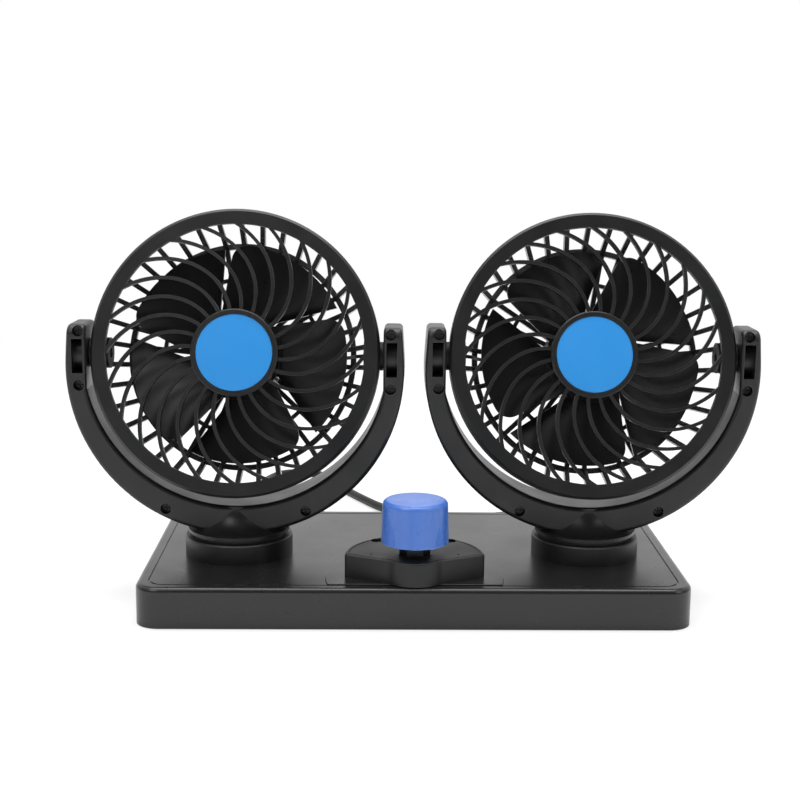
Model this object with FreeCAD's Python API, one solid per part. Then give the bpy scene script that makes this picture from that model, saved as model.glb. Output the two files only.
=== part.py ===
import FreeCAD, Part
import math
import os

V = FreeCAD.Vector

# Base housing, with the table at height 0
base_width = 205.0
base_depth = 109.0
base_top = 15.6
base_lift = 0.3
base_corner = 9.0
base_edge = 1.8
base_wall = 2.4
base_lid = 2.6
line_inset = 4.2
line_width = 0.8
line_depth = 0.4
line_round = 2.0
cover_thick = 2.2
cover_gap = 0.15
pad_side = 18.5
pad_end = 17.5
pad_corner = 4.0
pad_sunk = 0.5
base_screw_side = 12.5
base_screw_end = 13.5
base_screw_long = 8.0
base_screw_head = 1.0
base_boss_r = 4.0

# Posts and swivels
head_spacing = 4.0
post_y = -6.6
post_r = 20.9
post_top = 23.3
post_lid = 3.0
post_edge = 0.4
spigot_wall = 2.0
stem_r = 9.0
stem_bore_r = 4.0
stem_flange_r = 10.6
stem_flange_thick = 2.0
stem_nut_thick = 3.0
washer_thick = 1.4
washer_r = 18.2
hub_r = 19.7
hub_rim = 1.2
hub_lip = 2.3

# Control island and knob
island_in = 13.5
island_r = 26.0
island_front = 8.4
island_flat = 9.0
island_slant = 25.6
island_bulge_r = 12.5
island_root_r = 5.0
island_corner = 1.5
island_height = 9.2
island_wall = 2.0
island_edge = 0.7
island_pad_r = 33.2
island_pad_high = 0.35
island_pad_edge = 0.25
island_screw_x = 14.0
island_screw_y = 18.0
island_dot_x = 16.2
island_boss_r = 3.2
island_seat = 2.4
island_line_in = 1.3
island_line_wide = 0.5
island_line_deep = 0.25
switch_r = 8.5
switch_high = 10.0
bushing_r = 3.5
bushing_high = 3.6
shaft_r = 3.0
nut_flats = 10.0
nut_thick = 2.2
knob_r = 12.5
knob_top_r = 12.1
knob_high = 15.7
knob_gap = 5.2
knob_edge = 1.6
knob_wall = 2.2
knob_flats = 12
knob_flat_cut = 0.22
sleeve_r = 5.9
sleeve_drop = 1.4
board_width = 34.0
board_depth = 18.0
board_thick = 1.6

# Heads
head_r = 55.1
ring_front = 8.3
ring_back = 2.0
rim_wide = 5.8
rim_wall = 1.7
rim_edge = 1.0
hoop_wall = 1.6
lip_wall = 1.2
lip_depth = 2.0
rib_count = 24
rib_width = 1.35
rib_thick = 2.0
rib_sweep = 39.0
rib_power = 1.55
rib_phase = 7.0
bezel_r = 16.6
bezel_wall = 1.9
bezel_front = 11.0
bezel_floor = 1.4
cap_depth = 2.2
cap_dome = 0.7
cap_edge = 0.3
guard_fit = 0.15
guard_wall = 1.6
guard_nest = 4.5
guard_flange = 1.4
guard_ribs = 38
guard_rib_width = 1.9
guard_rib_deep = 2.0
rear_ring_in = 11.2
rear_ring_y = 17.2
rear_ring_wide = 2.2
mid_ring_share = 0.54
mid_ring_wide = 1.6
spoke_rise = 2.8
motor_r = 13.85
motor_front = 4.0
motor_long = 25.5
motor_boss_r = 5.0
motor_boss_high = 1.6
cup_wall = 1.8
cover_deep = 6.0
cover_round = 2.6
motor_screw_x = 8.5
motor_screw_r = 1.3

# Impellers
hub_gap = 0.5
hub_wall = 1.1
hub_front = 4.4
hub_disc = 2.0
hub_back = 11.5
hub_edge = 0.8
hub_boss_r = 4.5
hub_boss_long = 2.6
fan_shaft_r = 1.5
blade_count = 5
blade_gap = 7.2
blade_span = 65.0
blade_sweep = 18.0
blade_thick = 1.6
blade_mid = 2.0
blade_root_pitch = -26.0
blade_tip_pitch = -10.0
blade_round = 6.0

# Pivots
pin_r = 3.75
pin_bore_r = 2.0
pin_shoulder_r = 5.5
pin_flange_r = 5.9
pin_flange_thick = 2.0
pin_long = 5.5
shoulder_gap = 1.0
arm_gap = 0.3
seat_r = 6.3
seat_deep = 2.65

# Yokes
yoke_depth = 20.0
yoke_seam = -2.0
yoke_clear = 2.1
yoke_sink = 0.1
yoke_band = 11.2
arm_width = 7.8
arm_top = 12.0
arm_draw = 0.8
arm_round = 4.0
yoke_edge = 1.6
window_skin = 1.1
window_wide = 4.2
window_half = 6.6
window_boss_r = 7.0
arm_screw_in = 2.8
arm_screw_high = 9.5
arm_screw_low = 11.2
foot_screw_x = 27.0
foot_screw_out = 4.0
recess_r = 2.1
recess_deep = 4.2
screw_r = 1.1
screw_long = 9.8
screw_head_r = 1.9
screw_head_high = 1.6
lead_r = 0.7
lead_fit = 0.15
lead_start = 1.3
lead_out = 4.6
lead_pocket = 2.3

# Cord and plug
cord_r = 2.0
gland_x = 5.0
gland_z = 7.8
gland_r = 4.4
gland_tip_r = 2.9
gland_long = 17.5
gland_flange_r = 5.0
gland_flange_thick = 1.5
coil_x = -75.0
coil_back = 33.0
coil_r = 26.5
coil_pitch = 4.5
coil_turn = 58.0
tie_thick = 0.7
tie_slack = 0.6
tie_wide = 6.0
plug_x = 46.0
plug_back = 11.6
plug_r = 10.4
plug_relief_long = 8.0
plug_relief_r = 4.6
plug_grip_long = 13.0
plug_grip_r = 6.4
plug_barrel_long = 28.0
plug_roll = 54.0
plug_pocket = 11.5
plug_wall = 1.8
nose_r = 8.0
nose_long = 4.5
nose_deep = 6.0
tip_r = 3.6
tip_out = 4.5
tip_collar = 1.2
tip_collar_thick = 1.7
tip_round = 1.4
contact_wide = 4.0
contact_long = 18.0
contact_thick = 0.6
contact_proud = 0.04

# Clearances
run_fit = 0.05
still_fit = 0.03
loose_fit = 0.2

# Pose of the two heads as they stand at rest, in degrees
left_yaw = -2.0
right_yaw = 0.0
left_tilt = 12.4
right_tilt = 14.2
left_blade = -1.3
right_blade = 51.5

# Sizes that follow from the ones above
pad_width = base_width - 2 * pad_side
pad_depth = base_depth - 2 * pad_end
base_screw_x = base_width / 2 - base_screw_side
base_screw_y = base_depth / 2 - base_screw_end
island_y = island_in - base_depth / 2
island_top = base_top + island_height
hub_bottom = post_top + washer_thick + loose_fit
lip_top = hub_bottom + hub_lip
arm_inner = head_r + shoulder_gap + arm_gap
yoke_half = arm_inner + arm_width
post_x = yoke_half + head_spacing
yoke_inner = math.hypot(head_r, ring_front) + yoke_clear
yoke_drop = yoke_inner + yoke_band
pivot_z = hub_bottom + yoke_sink + yoke_drop
yoke_front = -yoke_depth / 2
yoke_back = yoke_depth / 2
hoop_r = head_r - hoop_wall
guard_r = hoop_r - guard_fit
rim_inner = head_r - rim_wide
seat_inner = guard_r - seat_deep
rear_ring_r = head_r - rear_ring_in
blade_r = rim_inner - blade_gap
cup_r = motor_r + loose_fit + cup_wall
mid_ring_r = cup_r + mid_ring_share * (rear_ring_r - cup_r)
cup_front = motor_front - cup_wall
cup_back = motor_front + motor_long + 0.5
hub_outer = cup_r + hub_gap + hub_wall
pin_end = arm_inner - arm_gap + pin_long
cap_r = bezel_r - bezel_wall - loose_fit
knob_bottom = island_top + knob_gap
back_wall = base_depth / 2
coil_y = back_wall + coil_back
plug_y = back_wall + plug_back


# Small helpers

def cyl_z(r, z0, z1, x=0.0, y=0.0):
    return Part.makeCylinder(r, z1 - z0, V(x, y, z0), V(0, 0, 1))


def cyl_y(r, y0, y1, x=0.0, z=0.0):
    return Part.makeCylinder(r, y1 - y0, V(x, y0, z), V(0, 1, 0))


def cyl_x(r, x0, x1, y=0.0, z=0.0):
    return Part.makeCylinder(r, x1 - x0, V(x0, y, z), V(1, 0, 0))


def block(x0, x1, y0, y1, z0, z1):
    return Part.makeBox(x1 - x0, y1 - y0, z1 - z0, V(x0, y0, z0))


def join(shapes):
    whole = shapes[0].multiFuse(shapes[1:])
    return whole.removeSplitter()


def less(shape, tools):
    return shape.cut(Part.makeCompound(tools)) if len(tools) > 1 else shape.cut(tools[0])


def turned(points, axis):
    corners = [V(r, a, 0) if axis == "y" else V(r, 0, a) for r, a in points]
    face = Part.Face(Part.makePolygon(corners + [corners[0]]))
    line = V(0, 1, 0) if axis == "y" else V(0, 0, 1)
    return face.revolve(V(0, 0, 0), line, 360)


def turned_x(points):
    corners = [V(a, r, 0) for r, a in points]
    face = Part.Face(Part.makePolygon(corners + [corners[0]]))
    return face.revolve(V(0, 0, 0), V(1, 0, 0), 360)


def plate(width, depth, corner, z0, z1):
    slab = block(-width / 2, width / 2, -depth / 2, depth / 2, z0, z1)
    upright = [e for e in slab.Edges if abs(e.Vertexes[0].Z - e.Vertexes[1].Z) > 0.5 * (z1 - z0)]
    return slab.makeFillet(corner, upright)


def at(shape, x, y, z):
    moved = shape.copy()
    moved.translate(V(x, y, z))
    return moved


def spun(shape, angle, axis):
    copy = shape.copy()
    copy.rotate(V(0, 0, 0), axis, angle)
    return copy


def group(shapes):
    return Part.makeCompound([s.Solids[0] for s in shapes])


def save(name, shape):
    solids = shape.Solids
    body = solids[0] if len(solids) == 1 else Part.makeCompound(solids)
    body.exportStep("parts/" + name + ".step")
    box = body.optimalBoundingBox(False, False)
    state = "ok" if all(s.isValid() for s in solids) else "BAD"
    print(f"{name}: {len(solids)} solids, {body.Volume:.0f} mm3, {state}, "
          f"x {box.XMin:.1f} {box.XMax:.1f} y {box.YMin:.1f} {box.YMax:.1f} z {box.ZMin:.1f} {box.ZMax:.1f}")


# Tubes along straight runs joined by tangent arcs

def bend_path(points):
    edges = []
    start = points[0]
    radii = []
    for before, here, after in zip(points, points[1:], points[2:]):
        inward = here - before
        outward = after - here
        turn = inward.getAngle(outward)
        reach = 0.45 * min(inward.Length, outward.Length)
        radii.append(reach / math.tan(turn / 2))
        inward.normalize()
        outward.normalize()
        a = here - inward * reach
        b = here + outward * reach
        middle = outward - inward
        middle.normalize()
        sag = reach / math.tan(turn / 2) * (1 / math.cos(turn / 2) - 1)
        edges.append(Part.LineSegment(start, a).toShape())
        edges.append(Part.Arc(a, here + middle * sag, b).toShape())
        start = b
    edges.append(Part.LineSegment(start, points[-1]).toShape())
    return Part.Wire(edges), radii


def tube(wire, r):
    edge = wire.Edges[0]
    begin = edge.valueAt(edge.FirstParameter)
    along = edge.tangentAt(edge.FirstParameter)
    ring = Part.Wire(Part.makeCircle(r, begin, along))
    return wire.makePipeShell([ring], True, False)


def cord_tube(name, points, r):
    wire, radii = bend_path([V(*p) for p in points])
    solid = tube(wire, r)
    share = solid.Volume / (math.pi * r * r * wire.Length)
    print(f"{name}: length {wire.Length:.0f} mm, volume share {share:.4f}, radii",
          " ".join(f"{value:.0f}" for value in radii))
    return solid


# Base

def base_housing():
    shell = plate(base_width, base_depth, base_corner, base_lift, base_top)
    rim = [e for e in shell.Edges if min(v.Z for v in e.Vertexes) > base_top - 0.01]
    shell = shell.makeFillet(base_edge, rim)
    outer = plate(base_width - 2 * line_inset, base_depth - 2 * line_inset, base_corner - line_inset + line_round,
                  base_top - line_depth, base_top + 1)
    inset = line_inset + line_width
    inner = plate(base_width - 2 * inset, base_depth - 2 * inset, base_corner - inset + line_round,
                  base_top - line_depth - 1, base_top + 2)
    solids = [shell.cut(outer.cut(inner))]
    front = -base_depth / 2 + line_inset + line_width
    pad_top = base_top + island_pad_high
    pad = cyl_z(island_pad_r, base_top - base_lid, pad_top, 0, island_y)
    pad = pad.common(block(-island_pad_r, island_pad_r, front, back_wall, 0, island_top))
    top = [e for e in pad.Edges if min(v.Z for v in e.Vertexes) > pad_top - 0.01]
    solids.append(pad.makeFillet(island_pad_edge, top))
    whole = join(solids)
    roof = base_top - base_lid
    cuts = [plate(base_width - 2 * base_wall, base_depth - 2 * base_wall, base_corner - base_wall,
                  base_lift - 1, roof)]
    for side in (-1, 1):
        cuts.append(cyl_z(post_r - base_wall, roof - 1, post_top, side * post_x, post_y))
        cuts.append(cyl_z(screw_r + still_fit + 0.2, roof - 1, island_top, side * island_screw_x,
                          island_y + island_screw_y))
    cuts.append(cyl_z(switch_r + 1.5, roof - 1, island_top, 0, island_y))
    cuts.append(cyl_y(gland_r + still_fit, back_wall - base_wall - 1, back_wall + 1, gland_x, gland_z))
    whole = less(whole, cuts)
    bosses = []
    pilots = []
    for x, y in base_screw_places():
        bosses.append(cyl_z(base_boss_r, base_lift + cover_thick, roof + 0.5, x, y))
        pilots.append(cyl_z(motor_screw_r + still_fit, base_lift, roof - 1, x, y))
    return join([whole] + bosses).cut(Part.makeCompound(pilots))


def post(side):
    roof = base_top - base_lid
    under = post_top - post_lid
    hole = post_r - base_wall
    inner = hole - spigot_wall
    drum = turned([
        (inner, roof), (hole - still_fit, roof), (hole - still_fit, base_top), (post_r, base_top),
        (post_r, post_top - post_edge), (post_r - post_edge, post_top), (stem_r + still_fit, post_top),
        (stem_r + still_fit, under), (inner, under)], "z")
    return at(drum, side * post_x, post_y, 0)


def base_screw_places():
    corners = [(sx * base_screw_x, sy * base_screw_y) for sx in (-1, 1) for sy in (-1, 1)]
    return corners + [(0.0, base_screw_y)]


def base_cover():
    inset = base_wall + cover_gap
    slab = plate(base_width - 2 * inset, base_depth - 2 * inset, base_corner - inset,
                 base_lift, base_lift + cover_thick)
    room = 2 * loose_fit
    cuts = [plate(pad_width + room, pad_depth + room, pad_corner + loose_fit, base_lift - 1, base_lift + pad_sunk)]
    for x, y in base_screw_places():
        cuts.append(cyl_z(2 * motor_screw_r + loose_fit, base_lift - 1, base_lift + base_screw_head + 0.1, x, y))
        cuts.append(cyl_z(motor_screw_r + loose_fit, base_lift - 1, base_lift + cover_thick + 1, x, y))
    return less(slab, cuts)


def grip_pad():
    return plate(pad_width, pad_depth, pad_corner, 0.0, base_lift + pad_sunk)


def base_screws():
    screws = []
    for x, y in base_screw_places():
        under = base_lift + base_screw_head
        head = cyl_z(2 * motor_screw_r, base_lift + 0.1, under + 0.1, x, y)
        shank = cyl_z(motor_screw_r, under, under + base_screw_long, x, y)
        slot = block(x - 1.6, x + 1.6, y - 0.3, y + 0.3, base_lift, base_lift + 0.5)
        screws.append(head.fuse(shank).removeSplitter().cut(slot))
    return group(screws)


def island_outline(shrink, z0, z1):
    disc = cyl_z(island_r - shrink, z0, z1, 0, island_y)
    front = island_y - island_front + shrink
    far = 2 * island_r
    rise = front + math.tan(math.radians(island_slant)) * (far - island_flat)
    back = island_y + far
    line = [(-far, back), (-far, rise), (-island_flat, front), (island_flat, front), (far, rise), (far, back)]
    corners = [V(x, y, z0 - 1) for x, y in line]
    field = Part.Face(Part.makePolygon(corners + [corners[0]])).extrude(V(0, 0, z1 - z0 + 2))
    disc = disc.common(field)
    return disc.fuse(cyl_z(island_bulge_r - shrink, z0, z1, 0, island_y)).removeSplitter()


def upright_edges(body, radius):
    found = []
    for e in body.Edges:
        a, b = e.Vertexes[0], e.Vertexes[-1]
        off = math.hypot(a.X, a.Y - island_y) - radius
        if abs(a.Z - b.Z) > 1.0 and abs(off) < 0.01 and a.Y < island_y:
            found.append(e)
    return found


def control_island():
    bottom = base_top + island_pad_high
    body = island_outline(0.0, bottom, island_top)
    body = body.makeFillet(island_root_r, upright_edges(body, island_bulge_r))
    body = body.makeFillet(island_corner, upright_edges(body, island_r))
    top = [e for e in body.Edges if min(v.Z for v in e.Vertexes) > island_top - 0.01]
    body = body.makeFillet(island_edge, top)
    body = body.cut(island_outline(island_wall, bottom - 1, island_top - island_wall))
    bosses = []
    for side in (-1, 1):
        x, y = side * island_screw_x, island_y + island_screw_y
        bosses.append(cyl_z(island_boss_r, bottom, island_top - island_wall + 0.2, x, y))
    body = join([body] + bosses)
    line = island_outline(island_line_in, island_top - island_line_deep, island_top + 1)
    line = line.cut(island_outline(island_line_in + island_line_wide, island_top - 1, island_top + 2))
    cuts = [cyl_z(bushing_r + loose_fit, bottom, island_top + 1, 0, island_y), line]
    for side in (-1, 1):
        x, y = side * island_screw_x, island_y + island_screw_y
        cuts.append(cyl_z(screw_head_r + 0.5, island_top - island_seat, island_top + 1, x, y))
        cuts.append(cyl_z(screw_r + loose_fit, bottom - 1, island_top, x, y))
        cuts.append(cyl_z(0.5, island_top - 0.4, island_top + 1, side * island_dot_x, island_y))
    return less(body, cuts)


def island_screws():
    screws = []
    for side in (-1, 1):
        x, y = side * island_screw_x, island_y + island_screw_y
        seat = island_top - island_seat
        head = cyl_z(screw_head_r, seat, seat + screw_head_high, x, y)
        shank = cyl_z(screw_r, base_top - base_lid, seat + 0.2, x, y)
        cross = cross_slot(screw_head_r)
        cross = spun(cross, -90, V(1, 0, 0))
        screws.append(head.fuse(shank).removeSplitter().cut(at(cross, x, y, seat + screw_head_high)))
    return group(screws)


def cross_slot(r):
    wide = 0.5
    long = 1.3 * r
    deep = 0.8
    flat = block(-long / 2, long / 2, -deep, deep, -wide / 2, wide / 2)
    tall = block(-wide / 2, wide / 2, -deep, deep, -long / 2, long / 2)
    return flat.fuse(tall).removeSplitter()


def rotary_switch():
    under = island_top - island_wall
    body = cyl_z(switch_r, under - switch_high, under, 0, island_y)
    neck = cyl_z(bushing_r, under - 0.5, island_top + bushing_high, 0, island_y)
    return join([body, neck]).cut(cyl_z(shaft_r + run_fit, under - 6.0, island_top + 20, 0, island_y))


def switch_shaft():
    under = island_top - island_wall
    return cyl_z(shaft_r, under - 5.8, knob_bottom + knob_high - knob_wall - 1.0, 0, island_y)


def hexagon(flats, z0, z1):
    r = flats / math.sqrt(3)
    points = [V(r * math.cos(math.radians(60 * k)), r * math.sin(math.radians(60 * k)), z0) for k in range(6)]
    return Part.Face(Part.makePolygon(points + [points[0]])).extrude(V(0, 0, z1 - z0))


def switch_nut():
    nut = hexagon(nut_flats, island_top + 0.5, island_top + 0.5 + nut_thick)
    washer = cyl_z(nut_flats / 2 + 1.0, island_top, island_top + 0.5)
    ring = nut.fuse(washer).removeSplitter().cut(cyl_z(bushing_r + still_fit, island_top - 1, island_top + 9))
    return at(ring, 0, island_y, 0)


def knob():
    top = knob_bottom + knob_high
    edge = knob_edge
    corner = edge * (1 - math.sqrt(0.5))
    line = [
        Part.LineSegment(V(0, 0, knob_bottom), V(knob_r, 0, knob_bottom)).toShape(),
        Part.LineSegment(V(knob_r, 0, knob_bottom), V(knob_top_r, 0, top - edge)).toShape(),
        Part.Arc(V(knob_top_r, 0, top - edge), V(knob_top_r - corner, 0, top - corner),
                 V(knob_top_r - edge, 0, top)).toShape(),
        Part.LineSegment(V(knob_top_r - edge, 0, top), V(0, 0, top)).toShape(),
        Part.LineSegment(V(0, 0, top), V(0, 0, knob_bottom)).toShape(),
    ]
    body = Part.Face(Part.Wire(line)).revolve(V(0, 0, 0), V(0, 0, 1), 360)
    reach = (knob_r - knob_flat_cut) / math.cos(math.pi / knob_flats)
    step = 2 * math.pi / knob_flats
    ring = [V(reach * math.cos(step * k), reach * math.sin(step * k), knob_bottom - 1) for k in range(knob_flats)]
    body = body.common(Part.Face(Part.makePolygon(ring + [ring[0]])).extrude(V(0, 0, knob_high + 2)))
    body = body.cut(cyl_z(knob_r - knob_wall, knob_bottom - 1, top - knob_wall))
    sleeve = cyl_z(sleeve_r, knob_bottom - sleeve_drop, top - knob_wall + 0.5)
    body = body.fuse(sleeve).removeSplitter()
    hole = top - knob_wall - 1.0 + run_fit
    body = body.cut(cyl_z(shaft_r + still_fit, knob_bottom - 5, hole))
    return at(body, 0, island_y, 0)


def speed_board():
    z = island_top - island_wall - switch_high
    return block(-board_width / 2, board_width / 2, island_y - board_depth / 2 + 3, island_y + board_depth / 2 + 3,
                 z - board_thick, z)


def inner_leads():
    z = island_top - island_wall - switch_high - board_thick / 2
    leads = []
    for side in (-1, 1):
        start = side * board_width / 2
        leads.append(cord_tube("inner lead", [
            (start, island_y + 2, z), (start + side * 13, island_y + 2, z),
            (side * (post_x - 18), post_y - 16, z - 2.0), (side * (post_x - 5), post_y - 5, z - 0.5),
            (side * (post_x - 0.4), post_y - 0.4, z + 8.0), (side * post_x, post_y, post_top)], lead_r))
    back = back_wall - base_wall - gland_flange_thick
    edge = island_y + board_depth / 2 + 3
    leads.append(cord_tube("inner feed", [
        (gland_x - 8, edge, z), (gland_x - 8, edge + 13, z), (gland_x - 4, edge + 32, z - 2.0),
        (gland_x, back - 12, gland_z), (gland_x, back, gland_z)], lead_r))
    return group(leads)


def swivel_stem(side):
    nut_top = post_top - post_lid
    top = lip_top + loose_fit + stem_flange_thick
    shaft = cyl_z(stem_r, nut_top - stem_nut_thick, top)
    flange = cyl_z(stem_flange_r, lip_top + loose_fit, top)
    return at(join([shaft, flange]).cut(cyl_z(stem_bore_r, 0, top + 1)), side * post_x, post_y, 0)


def swivel_nut(side):
    nut_top = post_top - post_lid
    ring = hexagon(2 * stem_flange_r, nut_top - stem_nut_thick, nut_top)
    return at(ring.cut(cyl_z(stem_r + still_fit, 0, nut_top + 1)), side * post_x, post_y, 0)


def swivel_washer(side):
    ring = cyl_z(washer_r, post_top, post_top + washer_thick)
    return at(ring.cut(cyl_z(stem_r + loose_fit, post_top - 1, post_top + 9)), side * post_x, post_y, 0)


# Yokes, drawn about the middle of the tilt axis

def yoke_solid():
    drop = -yoke_drop
    corner = -math.sqrt(yoke_inner ** 2 - arm_inner ** 2)
    head = yoke_half - arm_draw
    y = yoke_front
    edges = [
        Part.LineSegment(V(head, y, arm_top), V(arm_inner, y, arm_top)).toShape(),
        Part.LineSegment(V(arm_inner, y, arm_top), V(arm_inner, y, corner)).toShape(),
        Part.Arc(V(arm_inner, y, corner), V(0, y, -yoke_inner), V(-arm_inner, y, corner)).toShape(),
        Part.LineSegment(V(-arm_inner, y, corner), V(-arm_inner, y, arm_top)).toShape(),
        Part.LineSegment(V(-arm_inner, y, arm_top), V(-head, y, arm_top)).toShape(),
        Part.LineSegment(V(-head, y, arm_top), V(-yoke_half, y, 0)).toShape(),
        Part.Arc(V(-yoke_half, y, 0), V(0, y, drop), V(yoke_half, y, 0)).toShape(),
        Part.LineSegment(V(yoke_half, y, 0), V(head, y, arm_top)).toShape(),
    ]
    bow = Part.Face(Part.Wire(edges)).extrude(V(0, yoke_depth, 0)).common(arm_profile())
    rim = []
    for e in bow.Edges:
        a, b = e.Vertexes[0], e.Vertexes[-1]
        across = abs(a.Y - b.Y) < 0.01 and abs(a.Z - b.Z) < 0.01 and abs(a.Z) < arm_top + 0.01 and a.Z > 0
        along = abs(a.X - b.X) < 0.01 and abs(a.Z - b.Z) < 0.01 and a.Z < arm_top - 0.01
        if not across and not along:
            rim.append(e)
    bow = bow.makeFillet(yoke_edge, rim)
    return join([bow, yoke_hub()])


def arm_profile():
    far = 2 * yoke_half
    y0, y1 = yoke_front, yoke_back
    low = arm_top - arm_round
    bulge = arm_round * (1 - math.sqrt(0.5))
    edges = [
        Part.LineSegment(V(-far, y0, -far), V(-far, y0, low)).toShape(),
        Part.Arc(V(-far, y0, low), V(-far, y0 + bulge, arm_top - bulge), V(-far, y0 + arm_round, arm_top)).toShape(),
        Part.LineSegment(V(-far, y0 + arm_round, arm_top), V(-far, y1 - arm_round, arm_top)).toShape(),
        Part.Arc(V(-far, y1 - arm_round, arm_top), V(-far, y1 - bulge, arm_top - bulge), V(-far, y1, low)).toShape(),
        Part.LineSegment(V(-far, y1, low), V(-far, y1, -far)).toShape(),
        Part.LineSegment(V(-far, y1, -far), V(-far, y0, -far)).toShape(),
    ]
    return Part.Face(Part.Wire(edges)).extrude(V(2 * far, 0, 0))


def yoke_hub():
    low = hub_bottom - pivot_z
    rim = low + hub_rim
    rise = -yoke_inner - 0.4
    cove = hub_r - yoke_depth / 2
    bulge = cove * math.sqrt(0.5)
    top = rim + cove
    edges = [
        Part.LineSegment(V(0, 0, low), V(hub_r, 0, low)).toShape(),
        Part.LineSegment(V(hub_r, 0, low), V(hub_r, 0, rim)).toShape(),
        Part.Arc(V(hub_r, 0, rim), V(hub_r - bulge, 0, top - bulge), V(hub_r - cove, 0, top)).toShape(),
        Part.LineSegment(V(hub_r - cove, 0, top), V(0, 0, top)).toShape(),
        Part.LineSegment(V(0, 0, top), V(0, 0, low)).toShape(),
    ]
    flare = Part.Face(Part.Wire(edges)).revolve(V(0, 0, 0), V(0, 0, 1), 360)
    return flare.common(cyl_z(2 * hub_r, low - 1, rise))


def lead_arc():
    a = V(pin_end + lead_start, yoke_seam, -0.6)
    b = V(0.424 * (yoke_inner + lead_out), yoke_seam, -0.906 * (yoke_inner + lead_out))
    c = V(stem_bore_r + 4.5, yoke_seam, lip_top + loose_fit + stem_flange_thick - pivot_z + 1.1)
    return Part.Wire(Part.Arc(a, b, c).toShape())


def yoke_screw_places():
    x = arm_inner + arm_screw_in
    foot = yoke_inner + yoke_band - foot_screw_out
    z = -math.sqrt(foot ** 2 - foot_screw_x ** 2)
    places = [(s * x, h) for s in (-1, 1) for h in (arm_screw_high, -arm_screw_low)]
    return places + [(s * foot_screw_x, z) for s in (-1, 1)]


def yoke_cuts(side):
    neck = lip_top - pivot_z
    roof = neck + stem_flange_thick + 2.5 * loose_fit
    cuts = [
        cyl_z(stem_r + run_fit, -pivot_z, neck + 0.5),
        cyl_z(stem_flange_r + loose_fit, neck, roof),
    ]
    for s in (-1, 1):
        far = pin_end + arm_gap
        bore = cyl_x(pin_r + run_fit, arm_inner - 1, far)
        pocket = cyl_x(pin_bore_r + 1.0, far - 0.5, pin_end + lead_pocket)
        wide = arm_inner + window_skin
        window = block(wide, wide + window_wide, yoke_front - 1, yoke_seam, -window_half, window_half)
        window = window.cut(cyl_x(window_boss_r, wide - 1, wide + window_wide + 1))
        for tool in (bore, pocket, window):
            cuts.append(tool if s > 0 else tool.mirror(V(0, 0, 0), V(1, 0, 0)))
    groove = tube(lead_arc(), lead_r + lead_fit)
    cuts.append(groove if side < 0 else groove.mirror(V(0, 0, 0), V(1, 0, 0)))
    return cuts


def yoke_shells(side):
    whole = less(yoke_solid(), yoke_cuts(side))
    far = 2 * yoke_half
    front = whole.common(block(-far, far, -far, yoke_seam, -far, far))
    rear = whole.common(block(-far, far, yoke_seam, far, -far, far))
    front_cuts = []
    rear_cuts = []
    seat = yoke_front + recess_deep
    for x, z in yoke_screw_places():
        front_cuts.append(cyl_y(recess_r, yoke_front - 1, seat, x, z))
        front_cuts.append(cyl_y(screw_r + loose_fit, seat - 1, yoke_seam + 1, x, z))
        rear_cuts.append(cyl_y(screw_r + still_fit, yoke_seam - 1, seat + screw_long + 0.3, x, z))
    return less(front, front_cuts), less(rear, rear_cuts)


def yoke_screws():
    screws = []
    seat = yoke_front + recess_deep
    for x, z in yoke_screw_places():
        head = cyl_y(screw_head_r, seat - screw_head_high, seat, x, z)
        shank = cyl_y(screw_r, seat - 0.2, seat + screw_long, x, z)
        cross = at(cross_slot(screw_head_r), x, seat - screw_head_high, z)
        screws.append(head.fuse(shank).removeSplitter().cut(cross))
    return group(screws)


def yoke_lead(side):
    lead = tube(lead_arc(), lead_r)
    return lead if side < 0 else lead.mirror(V(0, 0, 0), V(1, 0, 0))


# Heads, drawn about the middle of the tilt axis with the front towards -Y

def polar(r, degrees, y):
    return V(r * math.cos(math.radians(degrees)), y, r * math.sin(math.radians(degrees)))


def grille_rib():
    inner = bezel_r - 0.6
    outer = rim_inner + 0.6
    steps = 8
    middle = []
    for k in range(steps + 1):
        share = k / steps
        middle.append(polar(inner + (outer - inner) * share, rib_phase + rib_sweep * share ** rib_power, 0))
    sides = ([], [])
    for k, point in enumerate(middle):
        along = middle[min(k + 1, steps)] - middle[max(k - 1, 0)]
        along.normalize()
        out = V(-along.z, 0, along.x) * (rib_width / 2)
        sides[0].append(point + out)
        sides[1].append(point - out)
    curves = []
    for points in sides:
        curve = Part.BSplineCurve()
        curve.interpolate(points)
        curves.append(curve.toShape())
    ends = [Part.LineSegment(sides[0][-1], sides[1][-1]).toShape(),
            Part.LineSegment(sides[1][0], sides[0][0]).toShape()]
    face = Part.Face(Part.Wire(Part.__sortEdges__([curves[0], ends[0], curves[1], ends[1]])))
    bar = at(face, 0, -30, 0).extrude(V(0, 60, 0))
    near = bezel_r - 1.2
    far = rim_inner + 1.2
    band = turned([(near, -bezel_front + 1.0), (far, -ring_front + 0.2), (far, -ring_front + 0.2 + rib_thick),
                   (near, -bezel_front + 1.0 + rib_thick)], "y")
    return bar.common(band)


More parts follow.
